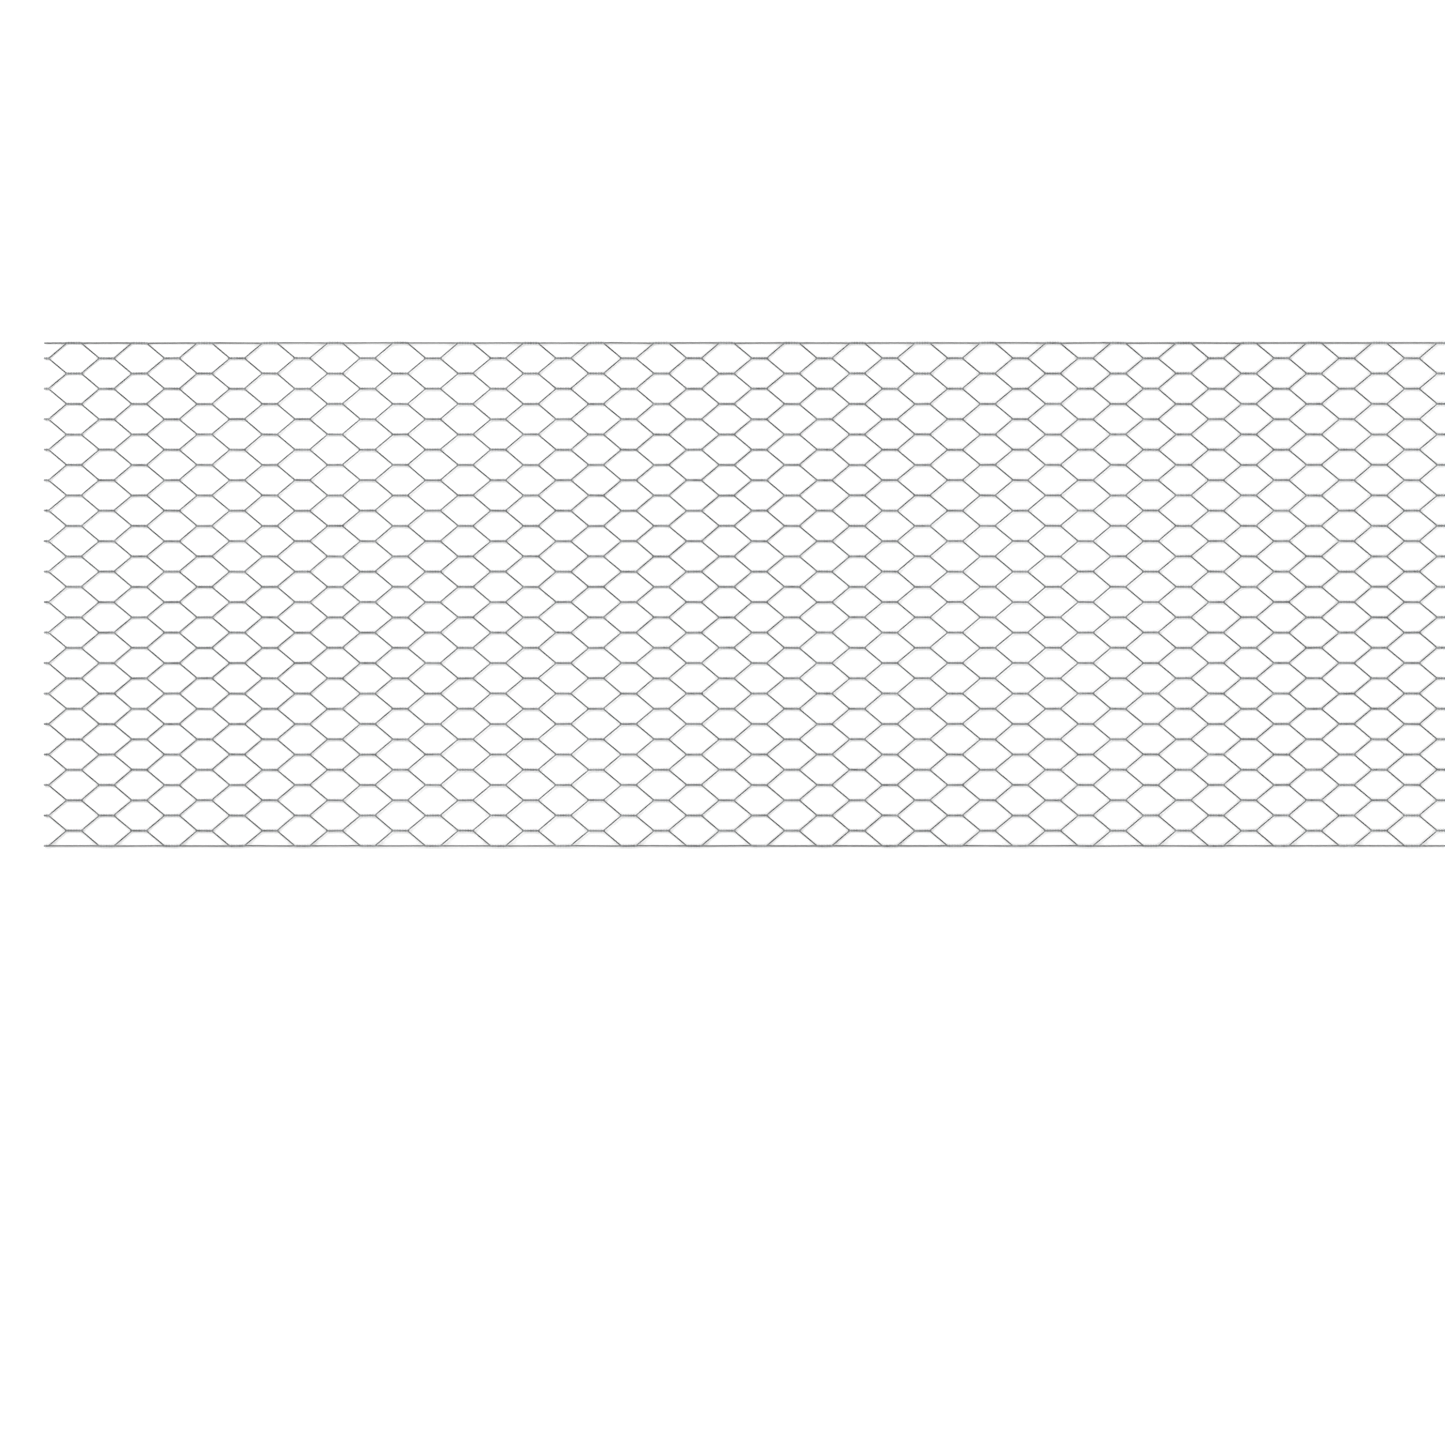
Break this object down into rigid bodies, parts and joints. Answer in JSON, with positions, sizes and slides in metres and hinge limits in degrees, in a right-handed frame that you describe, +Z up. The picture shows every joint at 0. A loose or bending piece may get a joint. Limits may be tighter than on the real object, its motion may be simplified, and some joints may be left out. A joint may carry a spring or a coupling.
{
  "type": "chicken wire",
  "caption": "Flat sheet of hexagonal chicken wire netting, twisted from galvanised wire, with a straight selvedge wire along each long edge.",
  "frame": {"origin": "middle of the sheet's bounding box, in the plane it lies on", "axes": "+X along the length, with the picture's left end at -X; +Y across the width, towards the picture's top edge; +Z up from the floor, towards the viewer"},
  "size_m": [2, 0.6, 0.0014],
  "materials": {
    "galvanised_wire": "dull hot-dip galvanised, dark zinc grey"
  },
  "bodies": {
    "root": {"netting_bay_1": "galvanised_wire", "netting_bay_2": "galvanised_wire", "netting_bay_3": "galvanised_wire", "netting_bay_4": "galvanised_wire", "netting_bay_5": "galvanised_wire", "upper_selvedge_wire": "galvanised_wire", "lower_selvedge_wire": "galvanised_wire"}
  },
  "joints": []
}
